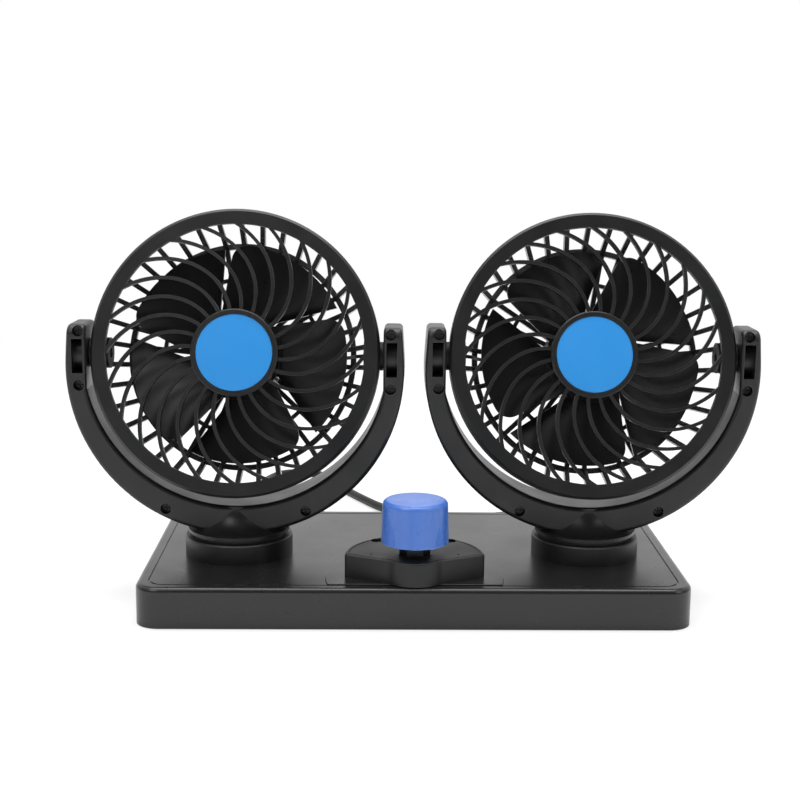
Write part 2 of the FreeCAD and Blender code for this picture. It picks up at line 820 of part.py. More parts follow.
def front_grille():
    face = -ring_front
    rim = turned([
        (rim_inner, face), (head_r - rim_edge, face), (head_r, face + rim_edge), (head_r, ring_back),
        (hoop_r, ring_back), (hoop_r, face + rim_wall), (rim_inner + lip_wall, face + rim_wall),
        (rim_inner + lip_wall, face + lip_depth), (rim_inner, face + lip_depth)], "y")
    seat = -bezel_front + cap_depth
    bezel = turned([
        (0, seat), (bezel_r - bezel_wall, seat), (bezel_r - bezel_wall, -bezel_front),
        (bezel_r - 0.4, -bezel_front), (bezel_r, -bezel_front + 0.4), (bezel_r, seat + bezel_floor),
        (0, seat + bezel_floor)], "y")
    rib = grille_rib()
    ribs = [spun(rib, 360.0 * k / rib_count, V(0, -1, 0)) for k in range(rib_count)]
    whole = join([rim, bezel] + ribs)
    holes = [cyl_x(pin_shoulder_r + run_fit, rim_inner + 3, head_r + 5),
             cyl_x(pin_shoulder_r + run_fit, -head_r - 5, -rim_inner - 3)]
    return less(whole, holes)


def hub_cap():
    seat = -bezel_front + cap_depth
    edge = -bezel_front + cap_edge
    top = edge - cap_dome
    ball_r = (cap_r ** 2 + cap_dome ** 2) / (2 * cap_dome)
    return cyl_y(cap_r, top - 1, seat).common(Part.makeSphere(ball_r, V(0, top + ball_r, 0)))


def guard_rib():
    out = guard_r + 0.4
    half = guard_rib_deep / 2
    start = ring_back + 0.6
    hub = cup_r - 0.9
    rise = rear_ring_y + spoke_rise
    points = [
        (out, start), (rear_ring_r + half * 0.9, rear_ring_y + half), (hub, rise + half), (hub, rise - half),
        (rear_ring_r - half * 0.9, rear_ring_y - half), (out - guard_rib_deep, start)]
    corners = [V(r, y, -guard_rib_width / 2) for r, y in points]
    return Part.Face(Part.makePolygon(corners + [corners[0]])).extrude(V(0, 0, guard_rib_width))


def rear_guard():
    inner = guard_r - guard_wall
    collar = turned([
        (inner, ring_back - guard_nest), (guard_r, ring_back - guard_nest), (guard_r, ring_back),
        (head_r - 0.4, ring_back), (head_r - 0.4, ring_back + guard_flange), (inner, ring_back + guard_flange)], "y")
    wide = rear_ring_wide / 2
    ring = turned([
        (rear_ring_r - wide, rear_ring_y - wide), (rear_ring_r + wide, rear_ring_y - wide),
        (rear_ring_r + wide, rear_ring_y + wide), (rear_ring_r - wide, rear_ring_y + wide)], "y")
    slope = spoke_rise / (rear_ring_r - cup_r)
    mid = rear_ring_y + slope * (rear_ring_r - mid_ring_r)
    half = mid_ring_wide / 2
    mid_ring = turned([
        (mid_ring_r - half, mid - wide), (mid_ring_r + half, mid - wide),
        (mid_ring_r + half, mid + wide), (mid_ring_r - half, mid + wide)], "y")
    bore = motor_r + loose_fit
    cup = turned([
        (motor_boss_r + loose_fit, cup_front), (cup_r, cup_front), (cup_r, cup_back), (bore, cup_back),
        (bore, motor_front), (motor_boss_r + loose_fit, motor_front)], "y")
    rib = guard_rib()
    ribs = [spun(rib, 360.0 * (k + 0.5) / guard_ribs, V(0, 1, 0)) for k in range(guard_ribs)]
    shell = cyl_y(guard_r, -20, 20)
    seats = [cyl_x(seat_r, seat_inner, guard_r + 2).common(shell)]
    seats.append(cyl_x(seat_r, -guard_r - 2, -seat_inner).common(shell))
    whole = join([collar, ring, mid_ring, cup] + seats + ribs)
    holes = []
    for side in (-1, 1):
        reach = (seat_inner - 4, head_r + 5) if side > 0 else (-head_r - 5, -seat_inner + 4)
        holes.append(cyl_x(pin_shoulder_r + run_fit, reach[0], reach[1]))
        holes.append(cyl_y(motor_screw_r + loose_fit, cup_front - 1, motor_front + 1, side * motor_screw_x))
    clear = cyl_x(pin_flange_r + loose_fit, 0, seat_inner).cut(cyl_y(seat_inner - pin_flange_thick - 1, -20, 20))
    holes.append(clear)
    holes.append(spun(clear, 180, V(0, 0, 1)))
    return less(whole, holes)


def pivot_pins():
    inside = seat_inner - pin_flange_thick
    shoulder = arm_inner - arm_gap
    pin = turned_x([
        (pin_bore_r, inside), (pin_flange_r, inside), (pin_flange_r, seat_inner), (pin_shoulder_r, seat_inner),
        (pin_shoulder_r, shoulder), (pin_r, shoulder), (pin_r, pin_end), (pin_bore_r, pin_end)])
    return group([pin, spun(pin, 180, V(0, 0, 1))])


def motor():
    back = motor_front + motor_long
    can = cyl_y(motor_r, motor_front, back)
    boss = cyl_y(motor_boss_r, motor_front - motor_boss_high, motor_front + 0.5)
    holes = [cyl_y(fan_shaft_r + run_fit, motor_front - 5, back - 2.0)]
    for side in (-1, 1):
        holes.append(cyl_y(motor_screw_r + still_fit, motor_front - 1, motor_front + 5, side * motor_screw_x))
    return less(join([can, boss]), holes)


def motor_screws():
    screws = []
    for side in (-1, 1):
        x = side * motor_screw_x
        head = cyl_y(1.7 * motor_screw_r, cup_front - 1.3, cup_front, x)
        shank = cyl_y(motor_screw_r, cup_front - 0.2, motor_front + 4.5, x)
        cross = at(cross_slot(1.7 * motor_screw_r), x, cup_front - 1.3, 0)
        screws.append(head.fuse(shank).removeSplitter().cut(cross))
    return group(screws)


def motor_cover():
    back = cup_back + cover_deep
    inner = cup_r - cup_wall
    cap = turned([
        (0, back), (cup_r - cover_round, back), (cup_r, back - cover_round), (cup_r, cup_back),
        (inner, cup_back), (inner, back - cup_wall - 1.0), (inner - 1.0, back - cup_wall), (0, back - cup_wall)], "y")
    slots = []
    for k in range(6):
        slot = block(4.5, 11.0, back - cup_wall - 1, back + 1, -0.8, 0.8)
        slots.append(spun(slot, 60.0 * k + 30, V(0, 1, 0)))
    slots.append(cyl_x(lead_r + loose_fit, inner - 2, cup_r + 1, cup_back + 2.0))
    return less(cap, slots)


def motor_lead():
    y0 = cup_back + 2.0
    behind = rear_ring_y + guard_rib_deep + lead_r
    inside = seat_inner - pin_flange_thick
    ring = rear_ring_r - rear_ring_wide / 2
    return cord_tube("motor lead", [
        (cup_r - cup_wall, y0, 0), (cup_r + 2.5, y0 - 0.3, 0), (cup_r + 6.5, y0 - 4.0, 0),
        (cup_r + 11.0, behind + 3.2, 0), (ring - 6.6, behind, 0), (ring - 2.2, behind - 3.6, 0),
        (ring + 0.8, behind - 9.0, 0), (inside - 1.4, 0, 0), (pin_end, 0, 0)], lead_r)


def motor_shaft():
    return cyl_y(fan_shaft_r, -hub_front + 0.2, motor_front + motor_long - 2.2)


def blade():
    def section(x, pitch, far):
        c = math.cos(math.radians(pitch))
        s = math.sin(math.radians(pitch))
        half = blade_thick / 2
        corners = []
        for t, n in ((-far, -half), (far, -half), (far, half), (-far, half)):
            corners.append(V(x, blade_mid + t * s + n * c, t * c - n * s))
        return Part.makePolygon(corners + [corners[0]])
    root = hub_outer - 4.0
    near_end = section(root, blade_root_pitch, 3 * root)
    slab = Part.makeLoft([near_end, section(blade_r + 3, blade_tip_pitch, blade_r + 20)],
                         True, True)
    low = hub_outer - 0.7
    half = blade_span / 2
    lead = 0.39 * blade_sweep
    lag = blade_sweep - lead
    y = -25
    tip = blade_r
    edges = [
        Part.LineSegment(polar(low, -half + lead, y), polar(tip, -half - lag, y)).toShape(),
        Part.Arc(polar(tip, -half - lag, y), polar(tip, -lag, y), polar(tip, half - lag, y)).toShape(),
        Part.LineSegment(polar(tip, half - lag, y), polar(low, half + lead, y)).toShape(),
        Part.Arc(polar(low, half + lead, y), polar(low, lead, y), polar(low, -half + lead, y)).toShape(),
    ]
    form = Part.Face(Part.Wire(edges)).extrude(V(0, 60, 0))
    corner = polar(tip, half - lag, y)
    rounds = [e for e in form.Edges if all(abs(v.X - corner.x) + abs(v.Z - corner.z) < 0.01 for v in e.Vertexes)]
    return form.makeFillet(blade_round, rounds).common(slab)


def impeller(phase):
    bore = fan_shaft_r + still_fit
    hub = turned([
        (bore, -hub_front), (hub_outer - hub_edge, -hub_front), (hub_outer, -hub_front + hub_edge),
        (hub_outer, hub_back),
        (hub_outer - hub_wall, hub_back), (hub_outer - hub_wall, -hub_front + hub_disc),
        (hub_boss_r, -hub_front + hub_disc), (hub_boss_r, -hub_front + hub_disc + hub_boss_long),
        (bore, -hub_front + hub_disc + hub_boss_long)], "y")
    one = blade()
    blades = [spun(one, 360.0 * k / blade_count + phase, V(0, -1, 0)) for k in range(blade_count)]
    inside = cyl_y(hub_outer - hub_wall, -hub_front + hub_disc, 40)
    return join([hub] + [b.cut(inside) for b in blades])


def stand(shape, side):
    yaw = left_yaw if side < 0 else right_yaw
    return at(spun(shape, yaw, V(0, 0, 1)), side * post_x, post_y, pivot_z)


def tilted(shape, side):
    tilt = left_tilt if side < 0 else right_tilt
    return stand(spun(shape, -tilt, V(1, 0, 0)), side)


# Cord, coil and plug

def cord_gland():
    wall = back_wall
    inside = wall - base_wall - gland_flange_thick
    line = turned([
        (0, inside), (gland_flange_r, inside), (gland_flange_r, wall - base_wall), (gland_r, wall - base_wall),
        (gland_r, wall + 2.0), (gland_tip_r, wall + gland_long), (0, wall + gland_long)], "y")
    grooves = []
    for k in range(4):
        y = wall + 6.0 + 3.6 * k
        ring = cyl_y(gland_r + 1, y, y + 1.2).cut(cyl_y(gland_tip_r - 0.3, y - 1, y + 3))
        grooves.append(ring)
    return at(less(line, grooves), gland_x, 0, gland_z)


def heading():
    return V(math.cos(math.radians(-coil_turn)), math.sin(math.radians(-coil_turn)), 0)


def coil_levels():
    low = cord_r + tie_thick + 0.1
    return low, low + coil_pitch


def coil_start():
    h = heading()
    side = V(h.y, -h.x, 0)
    low, high = coil_levels()
    return V(coil_x, coil_y, low) - side * coil_r


def power_cord():
    h = heading()
    meet = coil_start() - h * (2 * cord_r)
    back = meet - h * 14.0
    exit_y = back_wall + gland_long
    points = [
        (gland_x, exit_y, gland_z), (gland_x, exit_y + 8.5, gland_z), (gland_x - 4.2, exit_y + 18.0, gland_z - 2.4),
        (-6.2, back_wall + 45.5, 3.4), (-12.6, back_wall + 57.0, 2.1), (-21.4, back_wall + 73.5, 2.0),
        (-30.2, back_wall + 91.0, 2.0), (-37.2, back_wall + 107.5, 2.0), (-43.0, back_wall + 123.0, 2.0),
        (-54.0, back_wall + 127.6, 2.0), (-65.0, back_wall + 123.2, 2.0), (-71.2, back_wall + 108.5, 2.0),
        (-73.5, back_wall + 92.6, 2.0), (-70.7, back_wall + 76.9, 2.2), (back.x, back.y, back.z),
        (meet.x, meet.y, meet.z)]
    return cord_tube("power cord", points, cord_r)


def bend_to(p, t, q):
    chord = q - p
    aside = t - chord * (t.dot(chord) / chord.dot(chord))
    aside.normalize()
    turn = t.getAngle(chord)
    return Part.Arc(p, p + chord * 0.5 + aside * (chord.Length / 2 * math.tan(turn / 2)), q).toShape()


def coil_wire():
    h = heading()
    side = V(h.y, -h.x, 0)
    low, high = coil_levels()
    p = coil_start()
    edges = [Part.LineSegment(p - h * (2 * cord_r), p).toShape()]
    inward = [coil_r - coil_pitch / 2 * k for k in range(5)]
    outward = [inward[-1] + coil_pitch / 2 * k for k in range(6)]
    for r in inward:
        end = p + side * (2 * r)
        edges.append(Part.Arc(p, p + side * r + h * r, end).toShape())
        p, h, side = end, h * -1, side * -1
    r = inward[-1] - coil_pitch / 2
    end = p + side * (2 * r) + V(0, 0, high - low)
    reach = (end - p).Length / 2
    a = p + h * reach
    b = end + h * reach
    middle = (a + b) * 0.5
    edges.append(bend_to(p, h, middle))
    slope = b - a
    slope.normalize()
    edges.append(bend_to(middle, slope, end))
    p, h, side = end, h * -1, side * -1
    for r in outward:
        end = p + side * (2 * r)
        edges.append(Part.Arc(p, p + side * r + h * r, end).toShape())
        p, h, side = end, h * -1, side * -1
    edges.append(Part.LineSegment(p, p + h * (2 * cord_r)).toShape())
    return Part.Wire(edges)


def cord_coil():
    wire = coil_wire()
    solid = tube(wire, cord_r)
    share = solid.Volume / (math.pi * cord_r ** 2 * wire.Length)
    spots = wire.discretize(Distance=1.0)
    skip = int(3.2 * cord_r) + 8
    least = min((a - b).Length for k, a in enumerate(spots) for b in spots[k + skip:])
    print(f"cord coil: length {wire.Length:.0f} mm, volume share {share:.4f}, self gap {least - 2 * cord_r:.2f} mm")
    return solid


def coil_tie():
    h = heading()
    angle = math.degrees(math.atan2(h.x, -h.y))
    low, high = coil_levels()
    near = coil_r - 2 * coil_pitch - cord_r - tie_slack
    far = coil_r + coil_pitch + cord_r + loose_fit
    bottom = low - cord_r - 0.1
    top = high + cord_r + loose_fit
    wide = tie_wide / 2
    band = block(-far - tie_thick, -near + tie_thick, -wide, wide, bottom - tie_thick, top + tie_thick)
    hole = block(-far, -near, -wide - 1, wide + 1, bottom, top)
    return at(spun(band.cut(hole), angle, V(0, 0, 1)), coil_x, coil_y, 0)


def cord_tail():
    h = heading()
    low, high = coil_levels()
    start = coil_start() + V(0, 0, high - low) + h * (2 * cord_r)
    away = start + h * 8.0
    axis = plug_r
    points = [
        (start.x, start.y, start.z), (away.x, away.y, away.z), (away.x + 8.5, away.y - 10.0, away.z - 1.9),
        (-25.5, plug_y + 7.9, 3.1), (-11.5, plug_y + 2.7, 2.02), (4.0, plug_y + 0.6, 2.0),
        (plug_x - 26.5, plug_y + 0.1, 2.4), (plug_x - 18.0, plug_y, 6.7), (plug_x - 8.0, plug_y, axis),
        (plug_x, plug_y, axis)]
    return cord_tube("cord tail", points, cord_r)


def plug_marks():
    grip = plug_x + plug_relief_long
    barrel = grip + plug_grip_long
    nose = barrel + plug_barrel_long
    return grip, barrel, nose, nose + nose_long


def plug_body():
    grip, barrel, nose, end = plug_marks()
    hollow = plug_r - plug_wall
    shell = turned_x([
        (0, plug_x), (cord_r + 0.9, plug_x), (plug_relief_r, grip), (plug_grip_r, grip), (plug_r, barrel),
        (plug_r, nose), (hollow, nose), (hollow, nose - plug_pocket), (0, nose - plug_pocket)])
    cuts = []
    for sign in (-1, 1):
        low = plug_r - contact_thick - 0.1
        y0, y1 = (low, plug_r + 1) if sign > 0 else (-plug_r - 1, -low)
        mid = barrel + plug_barrel_long / 2
        half = contact_wide / 2
        slot = block(mid - contact_long / 2, mid + contact_long / 2, y0, y1, -half, half)
        cuts.append(spun(slot, plug_roll, V(1, 0, 0)))
    return at(less(shell, cuts), 0, plug_y, plug_r)


def plug_contacts():
    grip, barrel, nose, end = plug_marks()
    mid = barrel + plug_barrel_long / 2
    long = contact_long - 0.4
    wide = contact_wide - 0.4
    strips = []
    for sign in (-1, 1):
        low = plug_r - contact_thick - 0.1
        top = plug_r + contact_proud
        y0, y1 = (low, top) if sign > 0 else (-top, -low)
        strips.append(block(mid - long / 2, mid + long / 2, y0, y1, -wide / 2, wide / 2))
    return at(spun(group(strips), plug_roll, V(1, 0, 0)), 0, plug_y, plug_r)


def plug_nose():
    grip, barrel, nose, end = plug_marks()
    bore = tip_r + run_fit
    cap = turned_x([
        (bore, nose - nose_deep), (plug_r - plug_wall - still_fit, nose - nose_deep),
        (plug_r - plug_wall - still_fit, nose),
        (plug_r - 0.6, nose), (nose_r, end), (bore, end)])
    return at(cap, 0, plug_y, plug_r)


def plug_tip():
    grip, barrel, nose, end = plug_marks()
    stop = nose - nose_deep - 1.5 * loose_fit
    pin = turned_x([
        (0, stop - tip_collar_thick), (tip_r + tip_collar, stop - tip_collar_thick), (tip_r + tip_collar, stop),
        (tip_r, stop), (tip_r, end + tip_out - tip_round), (tip_r - tip_round, end + tip_out), (0, end + tip_out)])
    return at(pin, 0, plug_y, plug_r)


def main():
    os.makedirs("parts", exist_ok=True)
    save("base_housing", base_housing())
    save("left_post", post(-1))
    save("right_post", post(1))
    save("base_cover", base_cover())
    save("grip_pad", grip_pad())
    save("base_screws", base_screws())
    save("control_island", control_island())
    save("island_screws", island_screws())
    save("rotary_switch", rotary_switch())
    save("switch_shaft", switch_shaft())
    save("switch_nut", switch_nut())
    save("knob", knob())
    save("speed_board", speed_board())
    save("inner_leads", inner_leads())
    save("cord_gland", cord_gland())
    save("power_cord", power_cord())
    save("cord_coil", cord_coil())
    save("coil_tie", coil_tie())
    save("cord_tail", cord_tail())
    save("plug_body", plug_body())
    save("plug_contacts", plug_contacts())
    save("plug_nose", plug_nose())
    save("plug_tip", plug_tip())
    grille = front_grille()
    cap = hub_cap()
    guard = rear_guard()
    pins = pivot_pins()
    can = motor()
    fixings = motor_screws()
    cover = motor_cover()
    head_lead = motor_lead()
    spindle = motor_shaft()
    screws = yoke_screws()
    for name, side, phase in (("left", -1, left_blade), ("right", 1, right_blade)):
        save(name + "_swivel_stem", swivel_stem(side))
        save(name + "_swivel_nut", swivel_nut(side))
        save(name + "_swivel_washer", swivel_washer(side))
        front, rear = yoke_shells(side)
        save(name + "_yoke_front", stand(front, side))
        save(name + "_yoke_rear", stand(rear, side))
        save(name + "_yoke_screws", stand(screws, side))
        save(name + "_yoke_lead", stand(yoke_lead(side), side))
        save(name + "_front_grille", tilted(grille, side))
        save(name + "_hub_cap", tilted(cap, side))
        save(name + "_rear_guard", tilted(guard, side))
        save(name + "_pivot_pins", tilted(pins, side))
        save(name + "_motor", tilted(can, side))
        save(name + "_motor_screws", tilted(fixings, side))
        turn = 0 if side < 0 else 180
        save(name + "_motor_cover", tilted(spun(cover, turn, V(0, 1, 0)), side))
        save(name + "_motor_lead", tilted(spun(head_lead, turn, V(0, 1, 0)), side))
        save(name + "_motor_shaft", tilted(spindle, side))
        save(name + "_impeller", tilted(impeller(phase), side))


main()
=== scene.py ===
import bpy
import math
from mathutils import Matrix, Vector


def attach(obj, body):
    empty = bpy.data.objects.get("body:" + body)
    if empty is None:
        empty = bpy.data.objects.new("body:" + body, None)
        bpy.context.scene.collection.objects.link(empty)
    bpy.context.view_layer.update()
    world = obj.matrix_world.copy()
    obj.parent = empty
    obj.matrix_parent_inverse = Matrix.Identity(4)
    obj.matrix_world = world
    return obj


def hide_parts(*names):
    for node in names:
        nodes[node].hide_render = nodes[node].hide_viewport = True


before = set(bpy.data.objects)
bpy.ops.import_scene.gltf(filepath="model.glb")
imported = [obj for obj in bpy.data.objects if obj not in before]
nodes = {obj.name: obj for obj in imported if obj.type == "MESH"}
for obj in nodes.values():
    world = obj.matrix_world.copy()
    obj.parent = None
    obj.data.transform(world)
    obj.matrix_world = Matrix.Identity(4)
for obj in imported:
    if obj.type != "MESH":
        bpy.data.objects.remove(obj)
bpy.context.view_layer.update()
scene = bpy.context.scene
scene.view_settings.view_transform = "Standard"
print("frame loaded,", len(nodes), "CAD nodes")


# camera, at the photograph's place

cameraSettings = {
    "place": (-0.01523, -0.54359, 0.17725),
    "yaw": 1.54,            # degrees to the right
    "pitch": 10.61,         # degrees down
    "roll": 0.70,
    "lens": 63.315,
    "shift": -0.01505,
}


def makeCamera(s):
    yaw, pitch, roll = (math.radians(s[k]) for k in ("yaw", "pitch", "roll"))
    level = Vector((math.sin(yaw), math.cos(yaw), 0))
    right = Vector((math.cos(yaw), -math.sin(yaw), 0))
    forward = level * math.cos(pitch) - Vector((0, 0, math.sin(pitch)))
    up = level * math.sin(pitch) + Vector((0, 0, math.cos(pitch)))
    across = right * math.cos(roll) + up * math.sin(roll)
    upward = up * math.cos(roll) - right * math.sin(roll)
    data = bpy.data.cameras.new("photoCamera")
    data.sensor_width = 36
    data.sensor_fit = "HORIZONTAL"
    data.lens = s["lens"]
    data.shift_x = s["shift"]
    data.clip_start = 0.01
    cam = bpy.data.objects.new("photoCamera", data)
    rows = [(across[i], upward[i], -forward[i], s["place"][i]) for i in range(3)]
    cam.matrix_world = Matrix(rows + [(0, 0, 0, 1)])
    scene.collection.objects.link(cam)
    scene.camera = cam


makeCamera(cameraSettings)


# cord, one line from the gland to the plug

cordSettings = {
    "diameter": 0.004,
    "length": 1.166,
    "exit": (5.0, 72.0, 7.8),
    "lead": [(5.0, 80.5, 7.8), (0.8, 90.0, 5.4), (-6.2, 100.0, 3.4), (-12.6, 111.5, 2.1),
             (-21.4, 128.0, 2.0), (-30.2, 145.5, 2.0), (-37.2, 162.0, 2.0), (-43.0, 177.5, 2.0),
             (-54.0, 182.1, 2.0), (-65.0, 177.7, 2.0), (-71.2, 163.0, 2.0), (-73.5, 147.1, 2.0),
             (-70.7, 131.4, 2.2)],
    "coilCentre": (-75.0, 87.5),
    "coilRadius": 26.5,
    "coilPitch": 4.5,
    "coilTurn": 58.0,
    "coilLow": 2.8,
    "coilInward": 5,        # half turns
    "coilOutward": 6,
    "stepsPerHalf": 8,
    "runIn": 18.0,          # straight stretches before and after the coil
    "runOut": 12.0,
    "fallOff": (8.5, -10.0, -1.9),
    "tail": [(-25.5, 74.0, 3.1), (-11.5, 68.8, 2.02), (4.0, 66.7, 2.0), (19.5, 66.2, 2.4), (28.0, 66.1, 6.7),
             (38.0, 66.1, 10.4)],
    "plug": (46.0, 66.1, 10.4),
}


def coilPoints(s):
    turn = math.radians(-s["coilTurn"])
    ahead = Vector((math.cos(turn), math.sin(turn), 0))
    aside = Vector((ahead.y, -ahead.x, 0))
    low, high = s["coilLow"], s["coilLow"] + s["coilPitch"]
    half = s["coilPitch"] / 2
    inward = [s["coilRadius"] - half * k for k in range(s["coilInward"])]
    outward = [inward[-1] + half * k for k in range(s["coilOutward"])]
    laps = [(r, low, low) for r in inward]
    laps.append((inward[-1] - half, low, high))     # climbs to the upper layer
    laps += [(r, high, high) for r in outward]
    place = Vector((s["coilCentre"][0], s["coilCentre"][1], 0)) - aside * s["coilRadius"]
    first, points = place.copy(), []
    count = s["stepsPerHalf"]
    step = math.pi / count
    for r, z0, z1 in laps:
        middle = place + aside * r
        for k in range(count):
            angle = step * (k + 0.5)
            share = angle / math.pi
            ease = share * share * (3 - 2 * share)
            spot = middle + (ahead * math.sin(angle) - aside * math.cos(angle)) * (r / math.cos(step / 2))
            points.append((spot.x, spot.y, z0 + (z1 - z0) * ease))
        place = place + aside * (2 * r)
        ahead, aside = -ahead, -aside
    return first, ahead, points, high


def makeCord(s):
    first, ahead, turns, high = coilPoints(s)
    entry = first - ahead * s["runIn"]
    leave = first + ahead * s["runOut"]
    sideways, backward, down = s["fallOff"]
    route = [s["exit"]] + s["lead"] + [(entry.x, entry.y, s["coilLow"])] + turns
    route += [(leave.x, leave.y, high), (leave.x + sideways, leave.y + backward, high + down)]
    route += s["tail"] + [s["plug"]]
    curve = bpy.data.curves.new("powerCord", "CURVE")
    curve.dimensions = "3D"
    curve.bevel_depth = 1.0         # times each point's radius
    curve.bevel_resolution = 5
    curve.resolution_u = 6
    curve.use_fill_caps = True
    spline = curve.splines.new("NURBS")
    spline.points.add(len(route) - 1)
    for point, (x, y, z) in zip(spline.points, route):
        point.co = (x / 1000, y / 1000, z / 1000, 1)
        point.radius = s["diameter"] / 2
    spline.order_u = 3
    spline.use_endpoint_u = True
    cord = bpy.data.objects.new("powerCord", curve)
    scene.collection.objects.link(cord)
    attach(cord, "base")
    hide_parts("power_cord", "cord_coil", "cord_tail")
    return cord


cord = makeCord(cordSettings)
print("cord laid")


# shared effects, each a node group

def addNode(tree, kind, place=(0, 0), **settings):
    node = tree.nodes.new(kind)
    node.location = place
    for key, value in settings.items():
        setattr(node, key, value)
    return node


def makeGroup(name, inputs, outputs):
    tree = bpy.data.node_groups.new(name, "ShaderNodeTree")
    for label, value in inputs:
        tree.interface.new_socket(label, in_out="INPUT", socket_type="NodeSocketFloat").default_value = value
    for label in outputs:
        tree.interface.new_socket(label, in_out="OUTPUT", socket_type="NodeSocketFloat")
    start = addNode(tree, "NodeGroupInput", (-900, 0))
    end = addNode(tree, "NodeGroupOutput", (700, 0))
    return tree, start, end


def mouldSkinGroup():
    # fine spark-eroded skin, soft flow clouds and a slow change of gloss
    scales = [("Skin Scale", 2600), ("Cloud Scale", 22), ("Gloss Scale", 60)]
    tree, start, end = makeGroup("mouldSkin", scales, ["Skin", "Cloud", "Gloss"])
    coords = addNode(tree, "ShaderNodeTexCoord", (-900, -300))
    skin = addNode(tree, "ShaderNodeTexNoise", (-500, 200))
    skin.inputs["Detail"].default_value = 2
    skin.inputs["Roughness"].default_value = 0.6
    cloud = addNode(tree, "ShaderNodeTexNoise", (-500, -50))
    cloud.inputs["Detail"].default_value = 4
    cloud.inputs["Distortion"].default_value = 0.6
    gloss = addNode(tree, "ShaderNodeTexNoise", (-500, -300))
    gloss.inputs["Detail"].default_value = 5
    for tex, label in ((skin, "Skin Scale"), (cloud, "Cloud Scale"), (gloss, "Gloss Scale")):
        tree.links.new(coords.outputs["Object"], tex.inputs["Vector"])
        tree.links.new(start.outputs[label], tex.inputs["Scale"])
    for tex, label in ((skin, "Skin"), (cloud, "Cloud"), (gloss, "Gloss")):
        tree.links.new(tex.outputs["Fac"], end.inputs[label])
    return tree


def edgeRubGroup():
    # 0 on flats, up to 1 along outer edges: edge wear together with a painted edge highlight
    tree, start, end = makeGroup("edgeRub", [("Width", 0.0006), ("Break Scale", 300)], ["Rub"])
    bevel = addNode(tree, "ShaderNodeBevel", (-650, 150), samples=6)
    geometry = addNode(tree, "ShaderNodeNewGeometry", (-650, -100))
    turn = addNode(tree, "ShaderNodeVectorMath", (-450, 50), operation="DOT_PRODUCT")
    ramp = addNode(tree, "ShaderNodeMapRange", (-250, 50))
    ramp.inputs["From Min"].default_value = 0.995
    ramp.inputs["From Max"].default_value = 0.80
    coords = addNode(tree, "ShaderNodeTexCoord", (-650, -350))
    patches = addNode(tree, "ShaderNodeTexNoise", (-450, -300))
    patches.inputs["Detail"].default_value = 4
    level = addNode(tree, "ShaderNodeMapRange", (-250, -300))
    level.inputs["From Min"].default_value = 0.35
    level.inputs["From Max"].default_value = 0.65
    both = addNode(tree, "ShaderNodeMath", (0, 0), operation="MULTIPLY", use_clamp=True)
    tree.links.new(start.outputs["Width"], bevel.inputs["Radius"])
    tree.links.new(bevel.outputs["Normal"], turn.inputs[0])
    tree.links.new(geometry.outputs["Normal"], turn.inputs[1])
    tree.links.new(turn.outputs["Value"], ramp.inputs["Value"])
    tree.links.new(coords.outputs["Object"], patches.inputs["Vector"])
    tree.links.new(start.outputs["Break Scale"], patches.inputs["Scale"])
    tree.links.new(patches.outputs["Fac"], level.inputs["Value"])
    tree.links.new(ramp.outputs["Result"], both.inputs[0])
    tree.links.new(level.outputs["Result"], both.inputs[1])
    tree.links.new(both.outputs["Value"], end.inputs["Rub"])
    return tree


def dustVeilGroup():
    # a light settling of dust on what faces up
    tree, start, end = makeGroup("dustVeil", [("Speck Scale", 900), ("Amount", 0.2)], ["Dust"])
    geometry = addNode(tree, "ShaderNodeNewGeometry", (-850, 250))
    parts = addNode(tree, "ShaderNodeSeparateXYZ", (-650, 250))
    facing = addNode(tree, "ShaderNodeMapRange", (-450, 250))
    facing.inputs["From Min"].default_value = 0.55
    facing.inputs["From Max"].default_value = 1.0
    coords = addNode(tree, "ShaderNodeTexCoord", (-850, -150))
    speck = addNode(tree, "ShaderNodeTexNoise", (-650, -150))
    speck.inputs["Detail"].default_value = 6
    speck.inputs["Roughness"].default_value = 0.75
    level = addNode(tree, "ShaderNodeMapRange", (-450, -150))
    level.inputs["From Min"].default_value = 0.5
    level.inputs["From Max"].default_value = 0.72
    both = addNode(tree, "ShaderNodeMath", (-200, 50), operation="MULTIPLY")
    share = addNode(tree, "ShaderNodeMath", (0, 50), operation="MULTIPLY", use_clamp=True)
    tree.links.new(geometry.outputs["Normal"], parts.inputs[0])
    tree.links.new(parts.outputs["Z"], facing.inputs["Value"])
    tree.links.new(coords.outputs["Object"], speck.inputs["Vector"])
    tree.links.new(start.outputs["Speck Scale"], speck.inputs["Scale"])
    tree.links.new(speck.outputs["Fac"], level.inputs["Value"])
    tree.links.new(facing.outputs["Result"], both.inputs[0])
    tree.links.new(level.outputs["Result"], both.inputs[1])
    tree.links.new(both.outputs["Value"], share.inputs[0])
    tree.links.new(start.outputs["Amount"], share.inputs[1])
    tree.links.new(share.outputs["Value"], end.inputs["Dust"])
    return tree


mouldSkin = mouldSkinGroup()
edgeRub = edgeRubGroup()
dustVeil = dustVeilGroup()
print("shared effects ready")


# moulded plastics

noiseSpan = (0.3, 0.7)      # where a noise texture has most of its values
dustDulls = 0.5             # how much full dust adds to roughness


def placeGroup(tree, group, place, **values):
    node = addNode(tree, "ShaderNodeGroup", place, node_tree=group)
    for label, value in values.items():
        node.inputs[label.replace("_", " ")].default_value = value
    return node


def mixColour(tree, factor, first, second, place):
    mix = addNode(tree, "ShaderNodeMix", place, data_type="RGBA")
    tree.links.new(factor, mix.inputs[0])
    for socket, value in ((mix.inputs[6], first), (mix.inputs[7], second)):
        if isinstance(value, tuple):
            socket.default_value = value + (1,)
        else:
            tree.links.new(value, socket)
    return mix.outputs[2]


